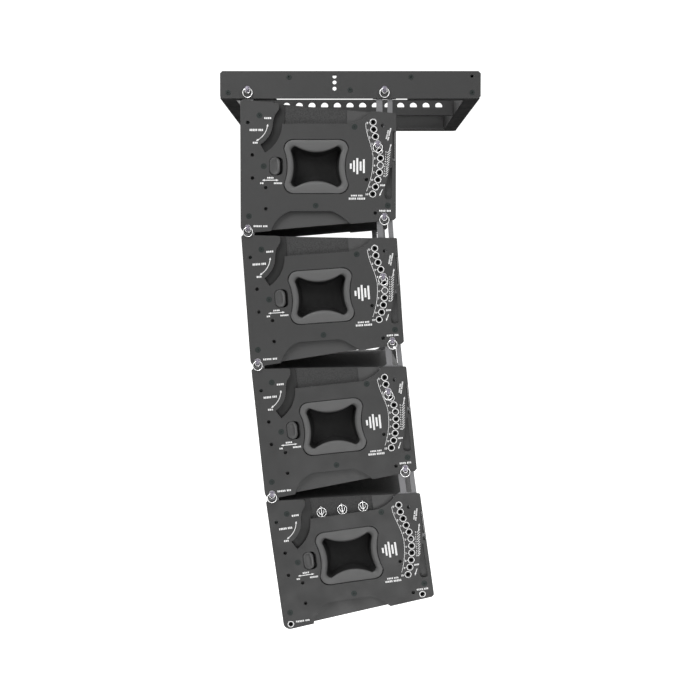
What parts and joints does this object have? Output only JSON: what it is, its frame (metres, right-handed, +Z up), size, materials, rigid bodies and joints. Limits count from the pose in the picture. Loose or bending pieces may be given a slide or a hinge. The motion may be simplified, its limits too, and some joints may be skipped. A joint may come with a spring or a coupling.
{
  "type": "line array speaker",
  "caption": "Flown column of wedge-shaped loudspeaker cabinets pinned rod to rod under a fly frame, each with a settable splay angle.",
  "frame": {"origin": "centre pick hole of the fly frame's spine, in the middle of its thickness", "axes": "+Z up, +X to the rear (sound leaves towards -X), +Y across to the far side"},
  "size_m": [0.6833, 0.958, 1.4777],
  "materials": {
    "frame_steel": "satin black-grey powder coat",
    "plate_steel": "satin dark grey powder coat",
    "box_paint": "black textured polyurea over birch plywood",
    "cup_plastic": "matt grey moulded plastic",
    "grille_steel": "perforated steel, black powder coat",
    "horn_plastic": "moulded black",
    "driver_metal": "black coated basket and magnet",
    "panel_metal": "black anodised",
    "rod_steel": "grey zinc-nickel steel",
    "bolt_steel": "black oxide",
    "knob_plastic": "moulded grey",
    "pin_steel": "bright steel"
  },
  "bodies": {
    "frame": {"frame_side_rails": "frame_steel", "frame_cross_beams": "frame_steel", "frame_spine": "frame_steel", "frame_bolts": "bolt_steel"},
    "frame_pin_set_near": {"frame_pins_near": "pin_steel"},
    "frame_pin_set_far": {"frame_pins_far": "pin_steel"},
    "cabinet_1": {"enclosure_1": "box_paint", "rig_plates_1": "plate_steel", "handle_cups_1": "cup_plastic", "front_grille_1": "grille_steel", "horn_module_1": "horn_plastic", "low_drivers_1": "driver_metal", "input_panel_1": "panel_metal", "front_rods_1": "rod_steel", "plate_fasteners_1": "bolt_steel"},
    "rod_pair_1": {"rear_rods_1": "rod_steel"},
    "knob_pair_1": {"lock_knobs_1": "knob_plastic"},
    "pin_set_near_1": {"pins_near_1": "pin_steel"},
    "pin_set_far_1": {"pins_far_1": "pin_steel"},
    "cabinet_2": {"enclosure_2": "box_paint", "rig_plates_2": "plate_steel", "handle_cups_2": "cup_plastic", "front_grille_2": "grille_steel", "horn_module_2": "horn_plastic", "low_drivers_2": "driver_metal", "input_panel_2": "panel_metal", "front_rods_2": "rod_steel", "plate_fasteners_2": "bolt_steel"},
    "rod_pair_2": {"rear_rods_2": "rod_steel"},
    "knob_pair_2": {"lock_knobs_2": "knob_plastic"},
    "pin_set_near_2": {"pins_near_2": "pin_steel"},
    "pin_set_far_2": {"pins_far_2": "pin_steel"},
    "cabinet_3": {"enclosure_3": "box_paint", "rig_plates_3": "plate_steel", "handle_cups_3": "cup_plastic", "front_grille_3": "grille_steel", "horn_module_3": "horn_plastic", "low_drivers_3": "driver_metal", "input_panel_3": "panel_metal", "front_rods_3": "rod_steel", "plate_fasteners_3": "bolt_steel"},
    "rod_pair_3": {"rear_rods_3": "rod_steel"},
    "knob_pair_3": {"lock_knobs_3": "knob_plastic"},
    "pin_set_near_3": {"pins_near_3": "pin_steel"},
    "pin_set_far_3": {"pins_far_3": "pin_steel"},
    "cabinet_4": {"enclosure_4": "box_paint", "rig_plates_4": "plate_steel", "handle_cups_4": "cup_plastic", "front_grille_4": "grille_steel", "horn_module_4": "horn_plastic", "low_drivers_4": "driver_metal", "input_panel_4": "panel_metal", "front_rods_4": "rod_steel", "plate_fasteners_4": "bolt_steel", "stowed_pins_4": "pin_steel"},
    "rod_pair_4": {"rear_rods_4": "rod_steel"},
    "knob_pair_4": {"lock_knobs_4": "knob_plastic"}
  },
  "joints": [
    {"name": "frame_pins_near_pull", "type": "slide", "parent": "frame", "child": "frame_pin_set_near", "axis": [0, -1, 0], "range_m": [0, 0.045]},
    {"name": "frame_pins_far_pull", "type": "slide", "parent": "frame", "child": "frame_pin_set_far", "axis": [0, 1, 0], "range_m": [0, 0.045]},
    {"name": "splay_1", "type": "hinge", "parent": "frame", "child": "cabinet_1", "pos_m": [-0.2686, 0, -0.0058], "axis": [0, -1, 0], "range_deg": [-3, 5]},
    {"name": "rear_rod_swing_1", "type": "hinge", "parent": "frame", "child": "rod_pair_1", "pos_m": [0.0904, 0, -0.0058], "axis": [0, -1, 0], "range_deg": [-3, 5]},
    {"name": "lock_knob_slide_1", "type": "slide", "parent": "cabinet_1", "child": "knob_pair_1", "axis": [1, 0, 0], "range_m": [0, 0.007]},
    {"name": "pins_near_1_pull", "type": "slide", "parent": "cabinet_1", "child": "pin_set_near_1", "axis": [0, -1, 0], "range_m": [0, 0.045]},
    {"name": "pins_far_1_pull", "type": "slide", "parent": "cabinet_1", "child": "pin_set_far_1", "axis": [0, 1, 0], "range_m": [0, 0.045]},
    {"name": "splay_2", "type": "hinge", "parent": "cabinet_1", "child": "cabinet_2", "pos_m": [-0.2686, 0, -0.3693], "axis": [0, -1, 0], "range_deg": [-4, 6]},
    {"name": "rear_rod_swing_2", "type": "hinge", "parent": "cabinet_1", "child": "rod_pair_2", "pos_m": [0.0904, 0, -0.3379], "axis": [0, -1, 0], "range_deg": [-4, 6]},
    {"name": "lock_knob_slide_2", "type": "slide", "parent": "cabinet_2", "child": "knob_pair_2", "axis": [0.9976, 0, 0.0698], "range_m": [0, 0.007]},
    {"name": "pins_near_2_pull", "type": "slide", "parent": "cabinet_2", "child": "pin_set_near_2", "axis": [0, -1, 0], "range_m": [0, 0.045]},
    {"name": "pins_far_2_pull", "type": "slide", "parent": "cabinet_2", "child": "pin_set_far_2", "axis": [0, 1, 0], "range_m": [0, 0.045]},
    {"name": "splay_3", "type": "hinge", "parent": "cabinet_2", "child": "cabinet_3", "pos_m": [-0.24394, 0, -0.72194], "axis": [0, -1, 0], "range_deg": [-2, 8]},
    {"name": "rear_rod_swing_3", "type": "hinge", "parent": "cabinet_2", "child": "rod_pair_3", "pos_m": [0.11199, 0, -0.66557], "axis": [0, -1, 0], "range_deg": [-2, 8]},
    {"name": "lock_knob_slide_3", "type": "slide", "parent": "cabinet_3", "child": "knob_pair_3", "axis": [0.9945, 0, 0.1045], "range_m": [0, 0.007]},
    {"name": "pins_near_3_pull", "type": "slide", "parent": "cabinet_3", "child": "pin_set_near_3", "axis": [0, -1, 0], "range_m": [0, 0.045]},
    {"name": "pins_far_3_pull", "type": "slide", "parent": "cabinet_3", "child": "pin_set_far_3", "axis": [0, 1, 0], "range_m": [0, 0.045]},
    {"name": "splay_4", "type": "hinge", "parent": "cabinet_3", "child": "cabinet_4", "pos_m": [-0.20699, 0, -1.0735], "axis": [0, -1, 0], "range_deg": [-2, 8]},
    {"name": "rear_rod_swing_4", "type": "hinge", "parent": "cabinet_3", "child": "rod_pair_4", "pos_m": [0.14676, 0, -1.00475], "axis": [0, -1, 0], "range_deg": [-2, 8]},
    {"name": "lock_knob_slide_4", "type": "slide", "parent": "cabinet_4", "child": "knob_pair_4", "axis": [0.9903, 0, 0.1392], "range_m": [0, 0.007]}
  ],
  "couplings": [
    {"joint": "rear_rod_swing_1", "follows": "splay_1", "ratio": 1},
    {"joint": "rear_rod_swing_2", "follows": "splay_2", "ratio": 1},
    {"joint": "rear_rod_swing_3", "follows": "splay_3", "ratio": 1},
    {"joint": "rear_rod_swing_4", "follows": "splay_4", "ratio": 1}
  ]
}
